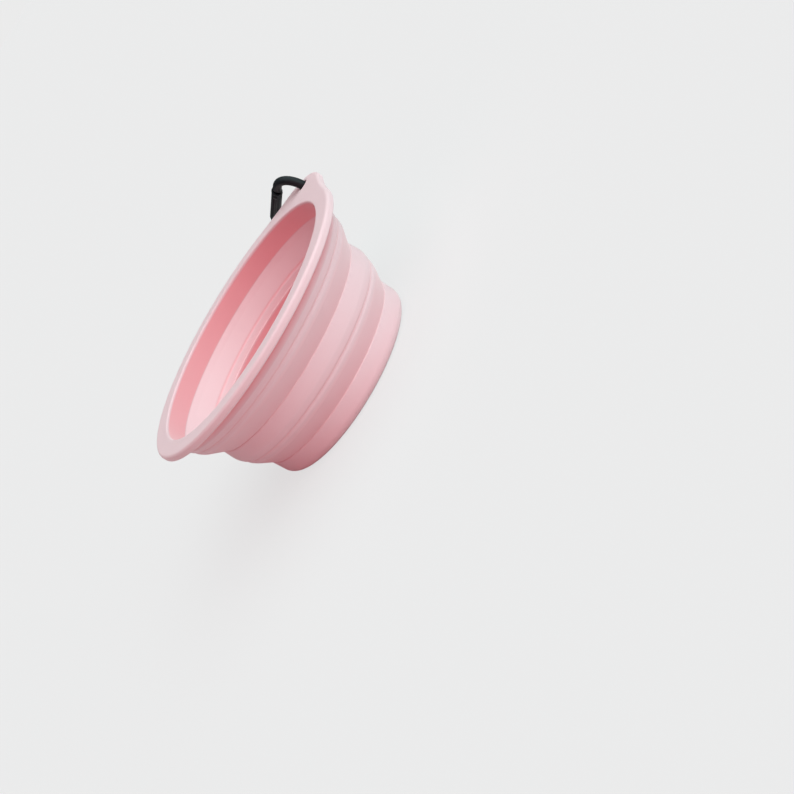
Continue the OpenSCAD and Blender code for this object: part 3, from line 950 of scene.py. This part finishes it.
for x, high, thick, power in (
        (straight - 0.1, 1.98, 1.95, 2.1),
        (straight - 0.3, 1.9, 1.5, 2.6),
        (straight - 0.55, 1.8, 0.9, 4),
        (straight - 0.8, nose_half, flat_half, 6),
        (straight - 2, nose_half, flat_half, flat_power),
        (nose_tip + 0.7, nose_half, flat_half, flat_power),
        (nose_tip + 0.3, 1.55, 0.74, flat_power),
        (nose_tip + 0.05, 1.2, 0.6, 6)):
    stations.append(gate_side(x, high, thick, power))
print("the rod has", len(stations), "sections")

# %% [markdown]
# The drilled end gets the rivet's hole. The nose gets a round hole near its inner side, where the
# gate's latch pin comes to rest.

# %% Frame of the hook
rivet_r, latch_pin_r, latch_share, cut_reach = 0.8, 0.6, 0.42, 3
rivet_hole_r, latch_hole_r = rivet_r + fit_gap, latch_pin_r + slot_gap
latch_u, latch_v = nose_tip + latch_share * nose_l, bend_r - latch_pin_r

hook_mesh = outwards(loft("hook_frame", stations, [0.0] * len(stations), closed=False))
hook_mesh = cut(hook_mesh, cutting_rod(rivet_u, bend_r, -cut_reach, cut_reach, rivet_hole_r))
hook_mesh = cut(hook_mesh, cutting_rod(latch_u, latch_v, -cut_reach, cut_reach, latch_hole_r))
hook_mesh.transform(hang)
hook_frame = as_piece("hook_frame", painted(hook_mesh, black), 40)
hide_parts("carabiner_frame")
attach(hook_frame, "hook")

# %% [markdown]
# The gate and its small parts have the right shape in CAD already, with every edge sharp. A copy
# of each is cleaned of doubled points, and a narrow bevel breaks its edges, so that they catch light.

# %% Gate, rivet, pin and plunger
def with_broken_edges(name, node, finish, width, limit=40):
    """A smooth copy of a CAD node with narrow bevels on its sharp edges."""
    shell = bmesh.new()
    shell.from_mesh(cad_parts[node].data)
    bmesh.ops.remove_doubles(shell, verts=shell.verts, dist=0.001 * MM)
    bmesh.ops.dissolve_limit(shell, angle_limit=math.radians(1), verts=shell.verts, edges=shell.edges)
    paired = [edge for edge in shell.edges if len(edge.link_faces) == 2]
    sharp = [edge for edge in paired if edge.calc_face_angle(0) > math.radians(limit)]
    bmesh.ops.bevel(shell, geom=sharp, offset=width * MM, segments=2, affect="EDGES", clamp_overlap=True)
    made = bpy.data.meshes.new(name)
    shell.to_mesh(made)
    shell.free()
    piece = as_piece(name, painted(made, finish), 30)
    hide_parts(node)
    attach(piece, "gate")


with_broken_edges("hook_gate", "carabiner_gate", black, 0.18)
with_broken_edges("hook_rivet", "gate_pivot_rivet", black, 0.05)
with_broken_edges("hook_latch_pin", "gate_latch_pin", black, 0.08)
with_broken_edges("hook_plunger", "gate_plunger", steel, 0.08)

# %% [markdown]
# The spring behind the plunger is wire wound on a helix, which follows a rule, so a second tree makes
# it. It sweeps a small circle along a spiral curve, with the turns, radii and length as its inputs.

# %% Geometry Nodes tree that winds a spring
def spring_tree():
    """Inputs in metres: the helix, the wire and the finish."""
    tree = bpy.data.node_groups.new("wind_spring", "GeometryNodeTree")
    for name in ("Turns", "Coil radius", "Length", "Wire radius"):
        tree.interface.new_socket(name, in_out="INPUT", socket_type="NodeSocketFloat")
    tree.interface.new_socket("Finish", in_out="INPUT", socket_type="NodeSocketMaterial")
    tree.interface.new_socket("Spring", in_out="OUTPUT", socket_type="NodeSocketGeometry")
    g = Graph(tree)
    inputs = tree.nodes.new("NodeGroupInput")
    turns, coil_r, length, wire_r, finish = (Link(g, inputs.outputs[i]) for i in range(5))
    helix = g.add("GeometryNodeCurveSpiral", sockets={
        "Resolution": 24, "Rotations": turns, "Start Radius": coil_r, "End Radius": coil_r,
        "Height": length})
    wire = g.add("GeometryNodeCurvePrimitiveCircle", {"mode": "RADIUS"},
                 {"Resolution": 8, "Radius": wire_r})
    swept = g.add("GeometryNodeCurveToMesh", sockets={
        "Curve": helix, "Profile Curve": wire, "Fill Caps": True})
    real = g.add("GeometryNodeRealizeInstances", sockets={"Geometry": swept})
    finished = g.add("GeometryNodeSetMaterial", sockets={"Geometry": real, "Material": finish})
    g.add("NodeGroupOutput", sockets={0: finished})
    return tree


wind_spring = spring_tree()
print("the winding tree has", len(wind_spring.nodes), "nodes")

# %% [markdown]
# The spring stands on z when it is wound. It is laid along the gate, behind the plunger's head, and
# then hung in the tab's hole with the rest of the hook.

# %% Wind the spring and lay it in the gate
bore_r, bore_l, bore_gap, wire_r, plunger_head_l, spring_turns = 1.6, 10.4, 0.1, 0.2, 1.4, 9.0
plunger_u = rivet_u + tang_r + slot_gap
coil_r = bore_r - bore_gap - wire_r
spring_start = plunger_u + plunger_head_l + wire_r + fit_gap
spring_end = plunger_u + bore_l - wire_r - fit_gap

stand_in = bpy.data.objects.new("spring", bpy.data.meshes.new("spring"))
scene.collection.objects.link(stand_in)
winder = stand_in.modifiers.new("wind", "NODES")
winder.node_group = wind_spring
items = {item.name: item.identifier for item in wind_spring.interface.items_tree}
for label, value in (("Turns", spring_turns), ("Coil radius", coil_r * MM), ("Wire radius", wire_r * MM),
                     ("Length", (spring_end - spring_start) * MM), ("Finish", steel)):
    winder[items[label]] = value
spring_mesh = evaluated_mesh(stand_in)
spring_mesh.transform(hang @ Matrix.Translation(Vector((spring_start, bend_r, 0)) * MM)
                      @ Matrix.Rotation(math.radians(90), 4, "Y"))
spring = as_piece("hook_spring", spring_mesh)
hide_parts("gate_spring")
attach(spring, "gate")
